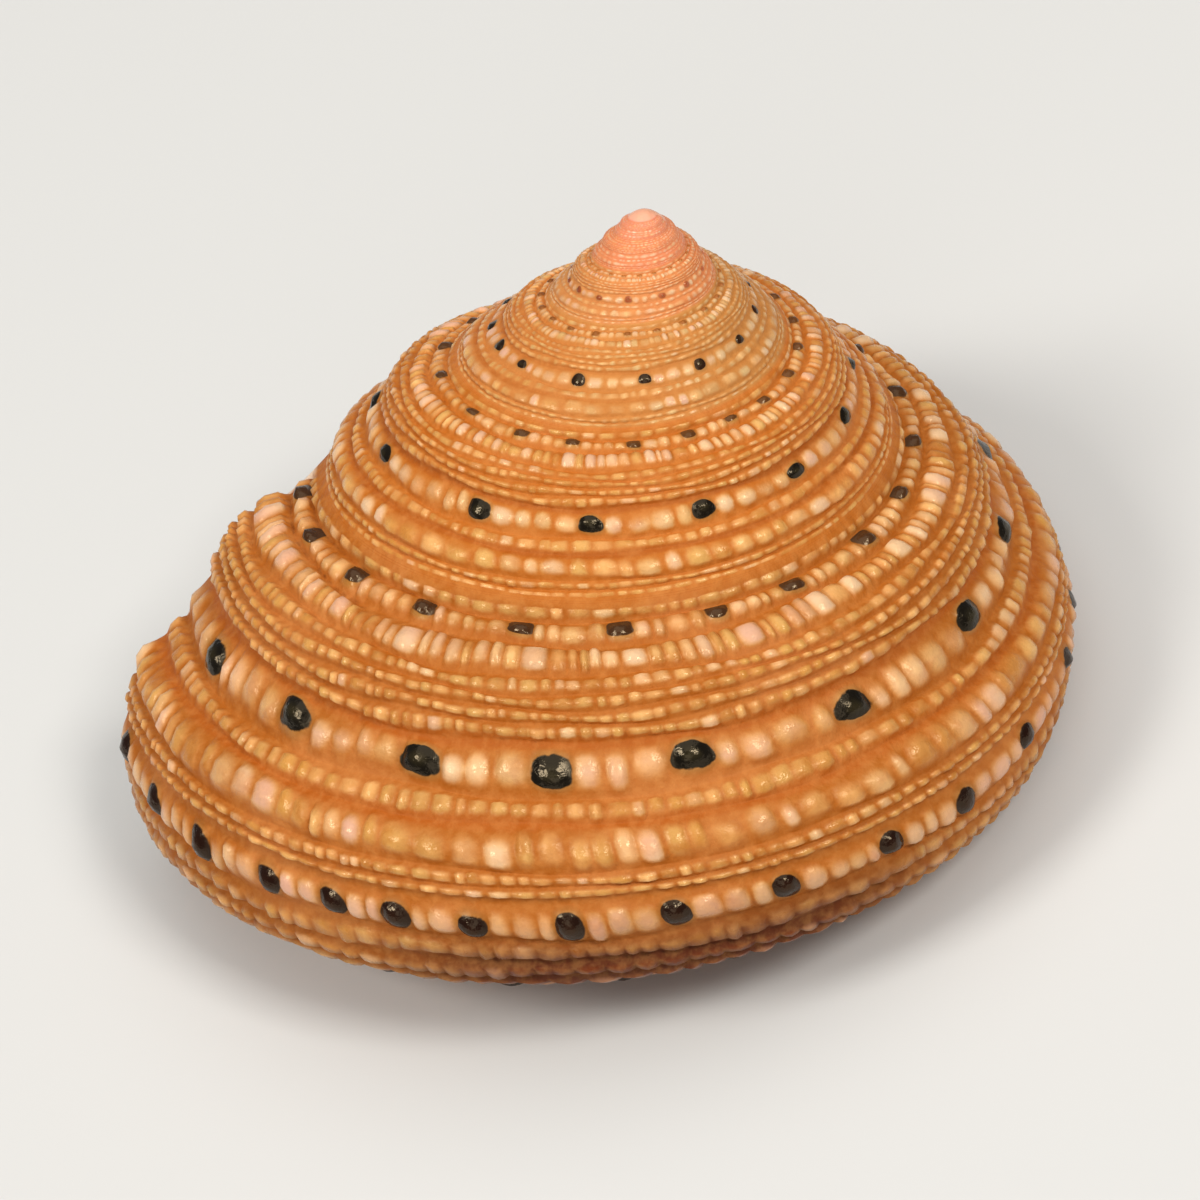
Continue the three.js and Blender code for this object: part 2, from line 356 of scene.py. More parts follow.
def bead_pitch(cord, turn):
    """Length of a bead in turns: beads shrink more slowly than the whorls towards the apex."""
    radius = section_point(np.array([cord.place]), np.array([0.0]))[0, 0]
    return cord.bead / radius / (2 * math.pi) * BEADS_SMALLER_PER_WHORL ** -turn


def blobs_beside(marks):
    """The large pale beads of the second cord, one or two beside most dark marks of the first."""
    blobs = []
    for mark in marks:
        if random.random() < 0.25:
            continue
        middle = mark - random.uniform(-1, 4) / 360
        blobs.append((middle, BLOB_WIDTH / 360 * random.uniform(0.8, 1.15), BLOB))
        if random.random() < 0.6:
            beside = middle - BLOB_WIDTH / 360 * random.uniform(1.1, 1.7)
            blobs.append((beside, BLOB_WIDTH / 360 * random.uniform(0.6, 0.95), BLOB))
    return sorted(blobs)


def lay_out_beads(cord, start, end):
    """Ends of the beads of a cord in turns, and the kind of each."""
    wide_ones = [(mark, cord.mark_width, DARK) for mark in marks_along(cord, start, end)]
    if cord.name == "second":
        wide_ones = blobs_beside(marks_of_first)
    edges = [start]
    kinds = []

    def fill(until):
        room = until - edges[-1]
        number = max(round(room / bead_pitch(cord, edges[-1] + room / 2)), 1)
        widths = random.uniform(0.62, 1.38, number)
        # The pitch falls along the stretch as the whorls grow
        middles = edges[-1] + (np.arange(number) + 0.5) / number * room
        widths *= BEADS_SMALLER_PER_WHORL ** -middles
        widths *= room / widths.sum()
        for width in widths:
            edges.append(edges[-1] + width)
            kinds.append(BEAD)
        edges[-1] = until

    for middle, width, kind in wide_ones:
        half = 0.5 * width
        if middle - half < edges[-1] + 0.3 * half or middle + half > end:
            continue
        fill(middle - half)
        edges.append(middle + half)
        kinds.append(kind)
    if end - edges[-1] > 0:
        fill(end)
    return np.array(edges), np.array(kinds)


# How white the beads behind a dark mark are, the nearest first
WHITE_FADES = {
    "shoulder": [1.0, 0.6, 0.45, 0.3, 0.35, 0.45],
    "periphery": [1.0, 0.85, 0.7, 0.75, 0.6, 0.6],
    "first": [0.6, 0.35, 0.25, 0.15, 0.2, 0.15],
    "under_4": [0.8, 0.5, 0.3],
    "under_6": [0.8, 0.5, 0.3],
    "under_8": [0.9, 0.6, 0.4],
}


def whiteness(cord, kinds):
    """How white each bead is: white just behind a dark mark and fading away from it."""
    number = len(kinds)
    dark = kinds == DARK
    white = np.zeros(number)
    fades = WHITE_FADES.get(cord.name, [])
    behind = NO_MARK
    for i in range(number - 1, -1, -1):
        behind = 0 if dark[i] else behind + 1
        if fades and not dark[i]:
            white[i] = fades[min(int(behind) - 1, len(fades) - 1)] * random.uniform(0.75, 1.1)
    if cord.name == "ninth":
        i = 3
        while i < number:
            pair = 2 if random.random() < 0.6 else 1
            white[i:i + pair] = random.uniform(0.75, 1.0)
            white[i + pair:i + pair + 1] = 0.3
            i += pair + int(random.integers(3, 7))
    if cord.name in ("rim", "funnel_1", "funnel_2"):
        white = random.uniform(0.7, 1.0, number)
    blob = kinds == BLOB
    white[blob] = random.uniform(0.8, 1.0, blob.sum())
    if not fades and cord.name != "ninth" and cord.place < RIM - 1:
        pale = ~blob & (random.random(number) < (0.45 if cord.name == "second" else 0.16))
        white[pale] = random.uniform(0.25, 0.75, pale.sum())
    return np.clip(white, 0, 1)


def samples_of_bead(turn, wide, fine):
    """Places of the vertices along a bead, from -1 to 1 without the last."""
    steps = BEAD_STEPS[min(int(max(math.floor(LIP_TURN - turn), 0)), len(BEAD_STEPS) - 1)]
    steps = max(steps - (0 if fine else 1), 2)
    if wide:
        steps = steps + 4 if steps > 2 else 4
    if steps == 2:
        return np.array([-1.0, 0.0])
    inner = np.linspace(-1, 1, steps + 1)[1:-1]
    return np.concatenate([[-1.0], np.sign(inner) * np.abs(inner) ** 0.85])


def strip_of_cord(skin, cord, before, start, end, extra=None):
    """Adds the beads of a cord and returns its vertices, one row for each station, and the turns."""
    edges, kinds = lay_out_beads(cord, start, end)
    white = whiteness(cord, kinds)
    number = len(kinds)
    dark = kinds == DARK
    tone = random.random(number)
    rise = np.where(kinds == BLOB, 1.25, random.uniform(0.56, 1.14, number) + 0.14 * white)
    sway = random.uniform(-0.3, 0.3, number)
    gaps = random.uniform(0.15, 0.55, number + 1)
    marks = (edges[1:] + edges[:-1])[dark] / 2
    turns = []
    inside_bead = []
    bead_of = []
    for i in range(number):
        for sample in samples_of_bead((edges[i] + edges[i + 1]) / 2, kinds[i] != BEAD, cord.across > 4):
            turns.append(edges[i] + (sample + 1) / 2 * (edges[i + 1] - edges[i]))
            inside_bead.append(sample)
            bead_of.append(i)
    turns.append(end)
    inside_bead.append(1.0)
    bead_of.append(number - 1)
    turns = np.array(turns)
    inside_bead = np.array(inside_bead)
    bead_of = np.array(bead_of)
    if extra is not None:
        at = int(np.searchsorted(turns, extra))
        i = bead_of[at - 1]
        sample = 2 * (extra - edges[i]) / (edges[i + 1] - edges[i]) - 1
        turns = np.insert(turns, at, extra)
        inside_bead = np.insert(inside_bead, at, sample)
        bead_of = np.insert(bead_of, at, i)

    def along(values):
        """A value of each bead at each station, the mean of two beads where they meet."""
        values = np.asarray(values, float)
        own = values[bead_of]
        earlier = values[np.maximum(bead_of - 1, 0)]
        return np.where(inside_bead == -1.0, (own + earlier) / 2, own)

    across = np.linspace(-1, 1, cord.across)
    across = np.sign(across) * np.abs(across) ** 0.75
    low = before + (GROOVE_HALF if before else SEAM_BELOW)
    high = cord.until - (SEAM_ABOVE if cord.until == ATTACH else GROOVE_HALF)
    if high >= SECTION_END - 2 * GROOVE_HALF:
        high = SECTION_END
    half = np.where(across < 0, cord.place - low, high - cord.place)
    swayed = sway[bead_of][:, None] * (1 - across ** 2) * (1 - inside_bead[:, None] ** 2)
    places = cord.place + (across + swayed) * half
    dome_across = ((1 - np.abs(across) ** cord.dome) ** (1.9 / cord.dome))[None, :]
    dome_along = 1 - np.abs(inside_bead) ** 1.9
    is_dark = dark[bead_of] & (np.abs(inside_bead) < 1)
    beaded = np.clip((turns - SMOOTH_TIP_TURN) / (BEADED_TURN - SMOOTH_TIP_TURN), 0, 1)
    taller = np.where(is_dark, 1.35, rise[bead_of])
    gap = gaps[bead_of] * (1 - inside_bead) / 2 + gaps[bead_of + 1] * (1 + inside_bead) / 2
    lift = dome_across * (gap + taller * (1 - gap) * dome_along)[:, None]
    shallow = 0.3 + 0.6 * gap
    low_lift = dome_across * (shallow + taller * (1 - shallow) * dome_along)[:, None]
    groove = np.interp(places, SEAM_PLACES, [SEAM, GROOVE, GROOVE, SEAM, SEAM, GROOVE])
    groove = np.where((turns > START_TURN)[:, None] & (places > 1), GROOVE, groove)
    heights = (groove + (cord.top - groove) * low_lift) * (0.15 + 0.85 * beaded)[:, None]
    section = section_point(wobbled(places, turns[:, None]), heights)
    points = place_on_coil(turns[:, None], section)

    if len(marks):
        nearest = np.abs(turns[:, None] - marks[None, :]).argmin(1)
        mark_along = np.minimum(np.abs(turns - marks[nearest]) / (0.5 * cord.mark_width), NO_MARK)
    else:
        mark_along = np.full(len(turns), NO_MARK)
    mark_across = np.abs(across - cord.mark_shift) / cord.mark_tall
    index = skin.add(
        points,
        height=np.clip(lift, 0, 1.2),
        whorl=turns[:, None] - section[..., 2] / 360,
        place=places,
        tone=along(tone)[:, None],
        white=along(white)[:, None],
        mark_along=mark_along[:, None],
        mark_across=mark_across[None, :],
    )
    skin.grid(index)
    return index, turns, section[:, 0, 2], section[:, -1, 2]


def add_cords(skin, cords, before, start, end, extra=None):
    """Adds cords side by side, zipped at their grooves, and returns the strip of each."""
    strips = []
    for number, cord in enumerate(cords):
        last = number == len(cords) - 1
        strip = strip_of_cord(skin, cord, before, start, end, extra if last else None)
        if strips:
            index, turns = strips[-1][:2]
            skin.stitch(index[:, -1], turns, strip[0][:, 0], strip[1])
        strips.append(strip)
        before = cord.until
    return strips


def hollow_rows():
    """Shares round the hollow and its loop at the lip."""
    share = np.arange(HOLLOW_POINTS) / HOLLOW_POINTS
    place = share * len(HOLLOW)
    first = np.floor(place).astype(int)
    part = (place - first)[:, None]
    a, b, c, d = (HOLLOW[(first + step) % len(HOLLOW)] for step in (-1, 0, 1, 2))
    loop = 0.5 * (
        2 * b + (c - a) * part + (2 * a - 5 * b + 4 * c - d) * part ** 2
        + (-a + 3 * b - 3 * c + d) * part ** 3
    )
    return share, loop


def add_mouth(skin, edge, edge_place, wrapped, wrapped_place, attach_vertex):
    """The lip, the pillar with its tooth and the hollow behind them."""
    # The step in the umbilicus, between the lip's edge and the whorl that it wraps
    edge_in = edge[edge_place >= RIM]
    wrapped_in = wrapped[wrapped_place >= RIM]
    points = np.concatenate(skin.points)
    steps = 14
    rows = [edge_in]
    rows_at = [edge_place[edge_place >= RIM]]
    for step in range(1, steps):
        share = step / steps
        at = np.linspace(edge_place[edge_place >= RIM][0], SECTION_END, 8)
        first = np.stack([np.interp(at, rows_at[0], points[edge_in, k]) for k in range(3)], 1)
        wrapped_at = wrapped_place[wrapped_place >= RIM]
        second = np.stack([np.interp(at, wrapped_at, points[wrapped_in, k]) for k in range(3)], 1)
        row = first * (1 - share) + second * share
        rows.append(skin.add(row, height=0.7, whorl=LIP_TURN - share, place=at, tone=0.5, inside=0.4))
        rows_at.append(at)
    rows.append(wrapped_in)
    rows_at.append(wrapped_place[wrapped_place >= RIM])
    for step in range(steps):
        skin.stitch(rows[step + 1], rows_at[step + 1], rows[step], rows_at[step])
    chord = [int(row[0]) for row in rows]
    umbilicus = [int(row[-1]) for row in rows]

    # The loop round the lip: down the edge, up the pillar and back under the whorl before
    below = edge[edge_place < RIM]
    above = wrapped[wrapped_place < RIM][::-1]
    loop = np.concatenate([below, chord, above, [attach_vertex]])
    below_at = np.interp(edge_place[edge_place < RIM], [0, 10.5, RIM], [0.0, 10 / 17, 10.8 / 17])
    chord_at = np.linspace(10.85 / 17, 13.4 / 17, len(chord))
    above_at = np.interp(wrapped_place[wrapped_place < RIM][::-1], [5, 10.5, RIM], [0.985, 0.83, 0.795])
    loop_at = np.concatenate([below_at, chord_at, above_at, [0.992]])

    share, hollow = hollow_rows()
    points = np.concatenate(skin.points)
    around = np.concatenate([loop_at, [loop_at[0] + 1]])
    looped = points[np.concatenate([loop, loop[:1]])]
    outer = np.stack([np.interp(share, around, looped[:, k]) for k in range(3)], 1)
    inner = place_on_coil(np.full(HOLLOW_POINTS, LIP_TURN), hollow)
    forward = place_on_coil(np.full(HOLLOW_POINTS, LIP_TURN + 0.004), hollow) - inner

    outward = (share > 0.01) & (share < 0.62)
    swell = np.where(outward, 1.0, 0.7)[:, None]
    lines = [
        (0.12, 0.45, 0.7),
        (0.4, 0.9, 0.9),
        (0.72, 0.75, 1.0),
    ]
    previous = loop
    previous_at = loop_at
    for part, push, pearl in lines:
        row = outer * (1 - part) + inner * part + forward * push * swell
        vertices = skin.add(row, height=0.8, whorl=LIP_TURN, place=5.0, tone=0.3, inside=pearl)
        closed = np.concatenate([vertices, vertices[:1]])
        closed_at = np.concatenate([share, [1.0]])
        previous = np.concatenate([previous, previous[:1]])
        previous_at = np.concatenate([previous_at, [1.0]])
        skin.stitch(closed, closed_at, previous, previous_at)
        previous = vertices
        previous_at = share

    # The hollow, with ridges behind the outer lip and the tooth at the foot of the pillar
    back = np.concatenate([np.linspace(0, 0.16, 13), np.linspace(0.2, HOLLOW_LENGTH, 9)])
    ridged = np.clip(np.minimum(share - 0.03, 0.56 - share) / 0.04, 0, 1)
    wave = 0.5 - 0.5 * np.cos(2 * np.pi * share * RIDGES / 0.6)
    for depth in back:
        narrowing = HOLLOW_NARROWING * depth / HOLLOW_LENGTH
        ridge = RIDGE_HEIGHT * max(1 - depth / RIDGE_LENGTH, 0) * min(0.4 + depth / 0.02, 1)
        to_centre = HOLLOW_CENTRE - hollow
        distance = np.hypot(to_centre[:, 0], to_centre[:, 1])
        far_from_tooth = np.hypot(hollow[:, 0] - TOOTH[0], hollow[:, 1] - TOOTH[1]) / TOOTH_RADIUS
        tooth = TOOTH_HEIGHT * np.exp(-far_from_tooth ** 2 * 1.6 - ((depth - 0.012) / 0.022) ** 2)
        move = narrowing + (ridged * wave * ridge + tooth) / distance
        row = hollow + to_centre * move[:, None]
        depth_value = min(depth / 0.25, 1)
        vertices = skin.add(
            place_on_coil(np.full(HOLLOW_POINTS, LIP_TURN - depth), row),
            height=0.5 + 0.5 * wave * ridged, whorl=LIP_TURN, place=5.0, tone=depth_value, inside=1.0,
        )
        skin.triangles.append(ring_triangles(vertices, previous))
        previous = vertices
    centre = place_on_coil(np.array(LIP_TURN - HOLLOW_LENGTH), HOLLOW_CENTRE)
    skin.fan(previous[::-1], centre, inside=1.0, tone=1.0)
    return umbilicus


def ring_triangles(first, second):
    """Triangles between two closed rings of as many vertices."""
    a = first
    b = np.roll(first, -1)
    c = np.roll(second, -1)
    d = second
    return np.concatenate([np.stack([a, b, c], 1), np.stack([a, c, d], 1)])


def build_shell():
    """The whole skin of the shell, upright, with its apex at the origin."""
    skin = Skin()
    upper = add_cords(skin, UPPER_CORDS, 0.0, FIRST_TURN, LIP_TURN, START_TURN)
    base = add_cords(skin, BASE_CORDS, ATTACH, START_TURN, LIP_TURN)

    # The lowest line of the upper cords meets the next whorl's suture, and then the base
    suture, suture_turns = upper[0][0][:, 0], upper[0][1]
    lowest, lowest_turns = upper[-1][0][:, -1], upper[-1][1]
    lowest_here = lowest_turns - upper[-1][3] / 360 + 1
    covered = lowest_turns <= START_TURN + 1e-9
    shown = lowest_turns >= START_TURN - 1e-9
    met = int(np.argmax(suture_turns >= lowest_here[0]))
    skin.stitch(lowest[covered], lowest_here[covered], suture[met:], suture_turns[met:])
    skin.stitch(lowest[shown], lowest_turns[shown], base[0][0][:, 0], base[0][1])

    points = np.concatenate(skin.points)
    place_of = np.concatenate(skin.values["place"])
    edge = np.concatenate([strip[0][-1] for strip in upper + base])
    wrapped = np.concatenate([strip[0][0] for strip in base])
    umbilicus_step = add_mouth(
        skin, edge, place_of[edge], wrapped, place_of[wrapped], int(lowest[covered][-1]),
    )
    umbilicus = np.concatenate([base[-1][0][:, -1], umbilicus_step[1:-1]])
    top = (0, 0, -UMBILICUS_TOP * FRONT_RADIUS)
    skin.fan(umbilicus, top, place=SECTION_END, whorl=LIP_TURN, tone=0.5, height=0.3)

    first_row = np.concatenate([strip[0][0] for strip in upper])
    tip = np.concatenate([suture[:met + 1], first_row[1:][::-1]])
    close_tip(skin, tip[::-1])
    return skin


def close_tip(skin, loop):
    """The first bulb of the shell, a small dome on the loop of vertices where the coil starts."""
    top = np.array([0, 0, -TIP_DEPTH * FRONT_RADIUS])
    start = np.concatenate(skin.points)[loop] - top
    previous = loop
    values = {"whorl": FIRST_TURN, "height": 1.0, "place": 3.0, "tone": 0.5}
    for share in [0.86, 0.7, 0.52, 0.34, 0.16]:
        ring = start * [share, share, share ** 2] + top
        vertices = skin.add(ring, **values)
        skin.triangles.append(ring_triangles(previous, vertices))
        previous = vertices
    skin.fan(previous, top, **values)


# Placing and the mesh
def rest_transform():
    """Lays the upright shell where the CAD part lies, found from the CAD part's apex."""
    across = Vector((-math.sin(REST_LEAN_TOWARDS), math.cos(REST_LEAN_TOWARDS), 0))
    turn = Matrix.Rotation(REST_LEAN, 4, across)
    axis = turn @ Vector((0, 0, 1))
    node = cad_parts["shell"]
    apex = max((node.matrix_world @ vertex.co for vertex in node.data.vertices), key=axis.dot)
    tip = turn @ Vector((0, 0, -APEX_DEPTH * FRONT_RADIUS))
    return Matrix.Translation(apex - tip) @ turn


def outward_triangles(points, triangles):
    """The triangles, all turned over if they enclose a negative volume."""
    corners = points[triangles]
    volume = np.einsum("ij,ij->i", corners[:, 0], np.cross(corners[:, 1], corners[:, 2])).sum()
    return triangles if volume > 0 else triangles[:, ::-1]


def shell_object(transform):
    """The shell as a mesh with the material's values as attributes."""
    skin = build_shell()
    points = np.concatenate(skin.points)
    triangles = np.concatenate(skin.triangles)
    same = (
        (triangles[:, 0] == triangles[:, 1])
        | (triangles[:, 1] == triangles[:, 2])
        | (triangles[:, 0] == triangles[:, 2])
    )
    triangles = outward_triangles(points, triangles[~same])
    rest = np.array(transform)
    points = points @ rest[:3, :3].T + rest[:3, 3]
    points = np.clip(points, np.array(cad_low), np.array(cad_high))

    mesh = bpy.data.meshes.new("beaded_shell")
    mesh.from_pydata(points.tolist(), [], triangles.tolist())
    for name in VALUES:
        attribute = mesh.attributes.new(name, "FLOAT", "POINT")
        attribute.data.foreach_set("value", np.concatenate(skin.values[name]).astype(np.float32))
    mesh.polygons.foreach_set("use_smooth", np.ones(len(mesh.polygons), bool))
    mesh.validate()
    mesh.update()
    shell = bpy.data.objects.new("beaded_shell", mesh)
    bpy.context.collection.objects.link(shell)
    return shell


# Colours
def colour(red, green, blue):
    """A colour given as 0 to 255 in sRGB, as the shader's linear values."""
    parts = [part / 255 for part in (red, green, blue)]
    linear = [part / 12.92 if part <= 0.04045 else ((part + 0.055) / 1.055) ** 2.4 for part in parts]
    return (*linear, 1.0)


class Shader:
    """Short names for the nodes of one material."""

    def __init__(self, name):
        self.material = bpy.data.materials.new(name)
        self.material.use_nodes = True
        self.nodes = self.material.node_tree.nodes
        self.links = self.material.node_tree.links
        self.surface = self.nodes["Principled BSDF"]

    def put(self, socket, value):
        if isinstance(value, bpy.types.NodeSocket):
            self.links.new(value, socket)
        else:
            socket.default_value = value

    def value(self, name):
        node = self.nodes.new("ShaderNodeAttribute")
        node.attribute_name = name
        return node.outputs["Fac"]

    def math(self, operation, first, second=0.0):
        node = self.nodes.new("ShaderNodeMath")
        node.operation = operation
        self.put(node.inputs[0], first)
        self.put(node.inputs[1], second)
        return node.outputs[0]

    def rise(self, value, low, high, to_low=0.0, to_high=1.0):
        """A smooth step of value from low to high, given as to_low to to_high."""
        node = self.nodes.new("ShaderNodeMapRange")
        node.interpolation_type = "SMOOTHSTEP"
        self.put(node.inputs["Value"], value)
        node.inputs["From Min"].default_value = low
        node.inputs["From Max"].default_value = high
        node.inputs["To Min"].default_value = to_low
        node.inputs["To Max"].default_value = to_high
        return node.outputs["Result"]

    def mix(self, share, first, second):
        """The first colour where share is 0, and the second where it is 1."""
        node = self.nodes.new("ShaderNodeMix")
        node.data_type = "RGBA"
        self.put(node.inputs["Factor"], share)
        self.put(node.inputs[6], first)
        self.put(node.inputs[7], second)
        return node.outputs[2]

    def noise(self, size, detail=2.0, roughness=0.5):
        """Noise whose grain is size metres across, from 0 to 1."""
        coordinates = self.nodes.new("ShaderNodeTexCoord").outputs["Object"]
        node = self.nodes.new("ShaderNodeTexNoise")
        node.inputs["Scale"].default_value = 1 / size
        node.inputs["Detail"].default_value = detail
        node.inputs["Roughness"].default_value = roughness
        self.links.new(coordinates, node.inputs["Vector"])
        return node.outputs["Fac"]

    def ramp(self, value, stops):
        """A colour ramp whose stops are (value, colour), with value running over any range."""
        low = stops[0][0]
        high = stops[-1][0]
        node = self.nodes.new("ShaderNodeValToRGB")
        ramp = node.color_ramp
        while len(ramp.elements) < len(stops):
            ramp.elements.new(0.5)
        for element, (at, tint) in zip(ramp.elements, stops):
            element.position = (at - low) / (high - low)
            element.color = tint
        share = self.math("DIVIDE", self.math("SUBTRACT", value, low), high - low)
        self.put(node.inputs["Fac"], share)
        return node.outputs["Color"]


def shell_material():
    """Glossy beads, orange in the grooves, with white and nearly black ones in rows."""
    shader = Shader("beaded_gloss")
    height = shader.value("height")
    whorl = shader.value("whorl")
    place = shader.value("place")
    tone = shader.value("tone")
    white = shader.value("white")
    inside = shader.value("inside")
    fine = shader.noise(0.00025, 3.0, 0.6)
    mottle = shader.noise(0.0007, 2.0, 0.55)
    broad = shader.noise(0.003, 2.0, 0.5)

    groove_colour = shader.ramp(whorl, [
        (-5.0, colour(220, 128, 92)),
        (-3.3, colour(214, 124, 76)),
        (-2.7, colour(198, 130, 68)),
        (-2.1, colour(186, 120, 56)),
        (-1.6, colour(192, 106, 36)),
        (-1.0, colour(180, 97, 20)),
        (0.3, colour(162, 86, 14)),
    ])
    bead_colour = shader.ramp(whorl, [
        (-5.0, colour(232, 162, 142)),
        (-3.3, colour(230, 176, 136)),
        (-2.7, colour(212, 176, 128)),
        (-2.1, colour(204, 170, 118)),
        (-1.6, colour(214, 167, 98)),
        (-1.0, colour(208, 156, 86)),
        (0.3, colour(198, 147, 82)),
    ])
    faded = shader.rise(broad, 0.46, 0.64, 0.0, 0.4)
    groove_colour = shader.mix(faded, groove_colour, colour(190, 116, 58))
    # Painted shade: the two deepest grooves, at places 2.63 and 3.68, are darkened on the later whorls as
    # if in their own shade
    from_first = shader.math("ABSOLUTE", shader.math("SUBTRACT", place, 2.63))
    from_second = shader.math("ABSOLUTE", shader.math("SUBTRACT", place, 3.68))
    painted_groove_shade = shader.math("ADD", shader.rise(from_first, 0.13, 0.04), shader.rise(from_second, 0.14, 0.04))
    painted_groove_shade = shader.math("MULTIPLY", painted_groove_shade, shader.rise(whorl, -2.4, -1.2))
    groove_colour = shader.mix(painted_groove_shade, groove_colour, colour(166, 82, 8))
    patches = shader.rise(mottle, 0.44, 0.62, 0.0, 0.6)
    deep = shader.math("MAXIMUM", patches, shader.rise(tone, 0.25, 0.1, 0.0, 0.5))
    bead_colour = shader.mix(deep, bead_colour, groove_colour)
    yellow = shader.rise(broad, 0.48, 0.7, 0.0, 0.45)
    bead_colour = shader.mix(yellow, bead_colour, colour(206, 146, 58))
    bright = shader.rise(tone, 0.4, 1.0, 0.0, 0.65)
    bead_colour = shader.mix(bright, bead_colour, colour(230, 168, 104))
    # Painted highlight: the tops of the paler beads are lightened to cream
    painted_highlight = shader.math("MULTIPLY", shader.rise(height, 0.78, 1.0), shader.rise(tone, 0.35, 0.8, 0.0, 0.5))
    bead_colour = shader.mix(painted_highlight, bead_colour, colour(246, 202, 136))
    # Painted shade: under the front the base is darkened to a deep red; elsewhere the base is only a
    # little darker than the top, as its own redder colour
    front_shade_share = shader.rise(shader.math("ABSOLUTE", whorl), 0.04, 0.12, 1.0, 0.2)
    below = shader.math("MULTIPLY", shader.rise(place, 5.25, 5.8), shader.rise(place, 9.0, 6.3, 0.5, 1.0))
    below = shader.math("MULTIPLY", below, front_shade_share)
    groove_colour = shader.mix(below, groove_colour, colour(84, 28, 4))
    bead_colour = shader.mix(below, bead_colour, colour(106, 44, 14))

    cream = shader.mix(shader.rise(broad, 0.4, 0.6), colour(222, 184, 144), colour(214, 164, 138))
    shade = shader.math("MULTIPLY", shader.rise(place, 5.0, 5.2), shader.rise(place, 8.0, 6.6))
    shade = shader.math("MULTIPLY", shade, front_shade_share)
    cream = shader.mix(shader.rise(mottle, 0.5, 0.7, 0.0, 0.3), cream, colour(206, 132, 86))
    white_colour = shader.mix(shader.math("MULTIPLY", shade, 0.55), cream, colour(170, 108, 76))
    top = shader.rise(height, 0.24, 0.86)
    whiter = shader.math("MULTIPLY", white, shader.rise(height, 0.38, 0.92))
    painted = shader.mix(top, groove_colour, bead_colour)
    painted = shader.mix(whiter, painted, white_colour)
    grain = shader.rise(fine, 0.35, 0.7, 0.0, 0.12)
    painted = shader.mix(grain, painted, colour(250, 184, 108))

    along = shader.math("POWER", shader.value("mark_along"), 2.2)
    across = shader.math("POWER", shader.value("mark_across"), 2.2)
    reach = shader.math("ADD", along, across)
    reach = shader.math("ADD", reach, shader.rise(fine, 0.2, 0.8, -0.1, 0.1))
    reach = shader.math("ADD", reach, shader.rise(mottle, 0.3, 0.7, -0.18, 0.18))
    halo = shader.math("MULTIPLY", shader.rise(reach, 2.2, 0.9), 0.5)
    painted = shader.mix(halo, painted, colour(132, 84, 26))
    dark = shader.rise(reach, 1.08, 0.86)
    row_colour = shader.ramp(whorl, [
        (-3.2, colour(184, 96, 58)),
        (-2.7, colour(132, 62, 28)),
        (-2.2, colour(46, 22, 10)),
        (-1.6, colour(16, 11, 6)),
        (0.3, colour(12, 9, 6)),
    ])
    # Painted sheen: the tops of the dark marks are lightened to olive, and those of the low marks to brown
    painted_sheen = shader.rise(height, 0.85, 1.2, 0.0, 0.4)
    row_colour = shader.mix(painted_sheen, row_colour, colour(58, 50, 28))
    low_colour = shader.mix(painted_sheen, colour(28, 8, 4), colour(50, 24, 10))
    row_colour = shader.mix(shader.rise(place, 4.9, 5.1), row_colour, low_colour)
    hem_colour = shader.ramp(whorl, [
        (-2.4, colour(176, 104, 46)),
        (-1.6, colour(116, 66, 26)),
        (-0.9, colour(82, 50, 24)),
        (0.3, colour(58, 34, 18)),
    ])
    dark_colour = shader.mix(shader.rise(place, 1.4, 1.2), row_colour, hem_colour)
    painted = shader.mix(dark, painted, dark_colour)

    nacre = shader.mix(tone, colour(244, 226, 206), colour(228, 210, 196))
    painted = shader.mix(inside, painted, nacre)

    shader.put(shader.surface.inputs["Base Color"], painted)
    rough = shader.rise(height, 0.1, 0.8, 0.6, 0.18)
    rough = shader.math("ADD", rough, shader.rise(fine, 0.3, 0.7, 0.0, 0.1))
    rough = shader.math("SUBTRACT", rough, shader.math("MULTIPLY", dark, 0.04))
    rough = shader.math("ADD", rough, shader.math("MULTIPLY", below, 0.1))
    shader.put(shader.surface.inputs["Roughness"], rough)
    shader.surface.inputs["Specular IOR Level"].default_value = 0.42
    shader.surface.inputs["IOR"].default_value = 1.5
    shader.surface.inputs["Specular Tint"].default_value = colour(255, 232, 194)

    bump = shader.nodes.new("ShaderNodeBump")
    bump.inputs["Strength"].default_value = 0.6
    bump.inputs["Distance"].default_value = 0.00006
    shader.put(bump.inputs["Height"], shader.math("ADD", fine, shader.math("MULTIPLY", mottle, 0.8)))
    shader.put(shader.surface.inputs["Normal"], bump.outputs["Normal"])
    return shader.material


# Studio
CAMERA_ELEVATION = math.radians(32.424)
CAMERA_ROLL = math.radians(1.843)
CAMERA_DISTANCE = 9.888 * FRONT_RADIUS
CAMERA_TARGET_RIGHT = -0.1143 * FRONT_RADIUS
CAMERA_TARGET_UP = -0.8038 * FRONT_RADIUS
FOCAL_PIXELS = 4911.5
IMAGE_PIXELS = 1200
SENSOR_WIDTH = 36.0


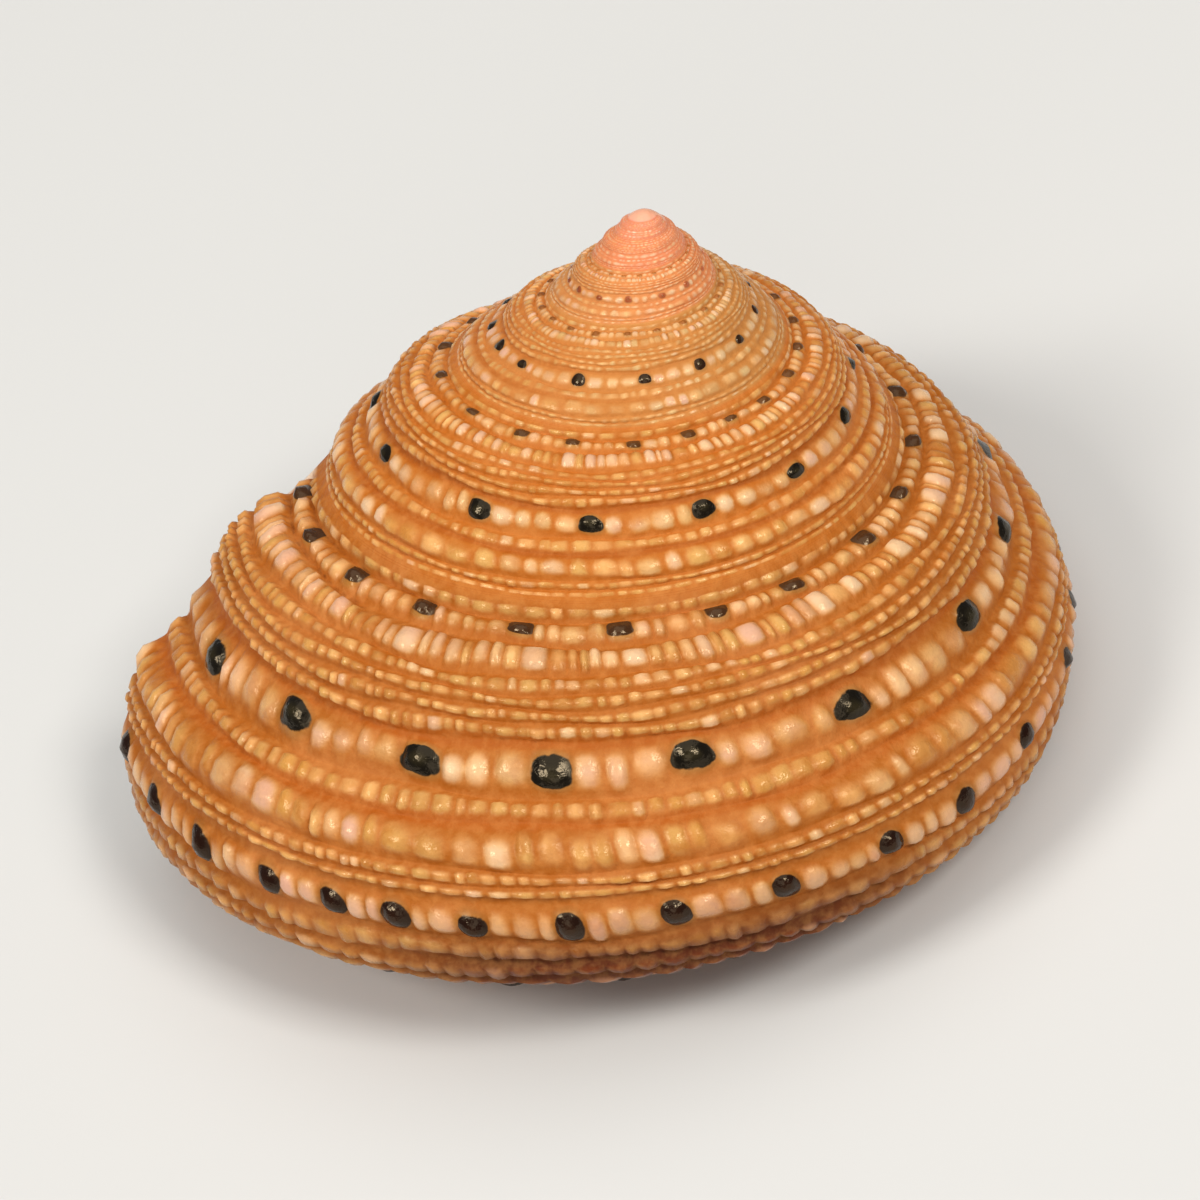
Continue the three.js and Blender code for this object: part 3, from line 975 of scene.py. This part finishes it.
def add_camera(transform):
    """The photograph's view, set against the upright shell and laid down with it."""
    right = Vector((1, 0, 0))
    up = Vector((0, math.sin(CAMERA_ELEVATION), math.cos(CAMERA_ELEVATION)))
    back = Vector((0, -math.cos(CAMERA_ELEVATION), math.sin(CAMERA_ELEVATION)))
    place = CAMERA_TARGET_RIGHT * right + CAMERA_TARGET_UP * up + CAMERA_DISTANCE * back
    rolled_right = math.cos(CAMERA_ROLL) * right - math.sin(CAMERA_ROLL) * up
    rolled_up = math.sin(CAMERA_ROLL) * right + math.cos(CAMERA_ROLL) * up
    pose = Matrix((rolled_right, rolled_up, back)).transposed().to_4x4()
    pose.translation = place
    data = bpy.data.cameras.new("photo_view")
    data.sensor_fit = "HORIZONTAL"
    data.sensor_width = SENSOR_WIDTH
    data.lens = FOCAL_PIXELS / IMAGE_PIXELS * SENSOR_WIDTH
    data.clip_start = 0.005
    data.clip_end = 20
    camera = bpy.data.objects.new("photo_view", data)
    camera.matrix_world = transform @ pose
    bpy.context.collection.objects.link(camera)
    bpy.context.scene.camera = camera
    return camera


def add_floor():
    """A plain pale floor."""
    half = 1.5
    mesh = bpy.data.meshes.new("floor")
    corners = [(-half, -half, 0), (half, -half, 0), (half, half, 0), (-half, half, 0)]
    mesh.from_pydata(corners, [], [(0, 1, 2, 3)])
    floor = bpy.data.objects.new("floor", mesh)
    bpy.context.collection.objects.link(floor)
    shader = Shader("pale_floor")
    tint = shader.mix(shader.noise(0.4), colour(204, 204, 202), colour(210, 210, 209))
    shader.put(shader.surface.inputs["Base Color"], tint)
    shader.surface.inputs["Roughness"].default_value = 0.8
    mesh.materials.append(shader.material)


def add_light(name, place, size, power, tint):
    """A square soft light that points at the shell."""
    data = bpy.data.lights.new(name, "AREA")
    data.size = size
    data.energy = power
    data.color = tint
    light = bpy.data.objects.new(name, data)
    light.location = place
    light.rotation_euler = Vector(place).to_track_quat("Z", "Y").to_euler()
    bpy.context.collection.objects.link(light)


def add_studio():
    """The floor, four soft lights and a dim even room."""
    add_floor()
    add_light("top", (0.02, 0.06, 0.45), 0.55, 1.0, (1.0, 0.98, 0.95))
    add_light("left_spot", (-0.26, -0.14, 0.34), 0.13, 1.0, (1.0, 0.97, 0.92))
    add_light("right_spot", (0.22, -0.18, 0.36), 0.13, 1.15, (1.0, 0.97, 0.92))
    add_light("front", (-0.04, -0.36, 0.22), 0.24, 0.22, (1.0, 0.98, 0.96))
    world = bpy.data.worlds.new("soft_room")
    world.use_nodes = True
    background = world.node_tree.nodes["Background"]
    background.inputs["Color"].default_value = (0.95, 0.97, 1.0, 1.0)
    background.inputs["Strength"].default_value = 0.18
    bpy.context.scene.world = world
    bpy.context.scene.view_settings.view_transform = "Standard"


marks_of_first = marks_along(UPPER_CORDS[1], FIRST_TURN, LIP_TURN)
lying = rest_transform()
add_camera(lying)
shell = shell_object(lying)
shell.data.materials.append(shell_material())
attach(shell, "root")
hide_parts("shell")
add_studio()
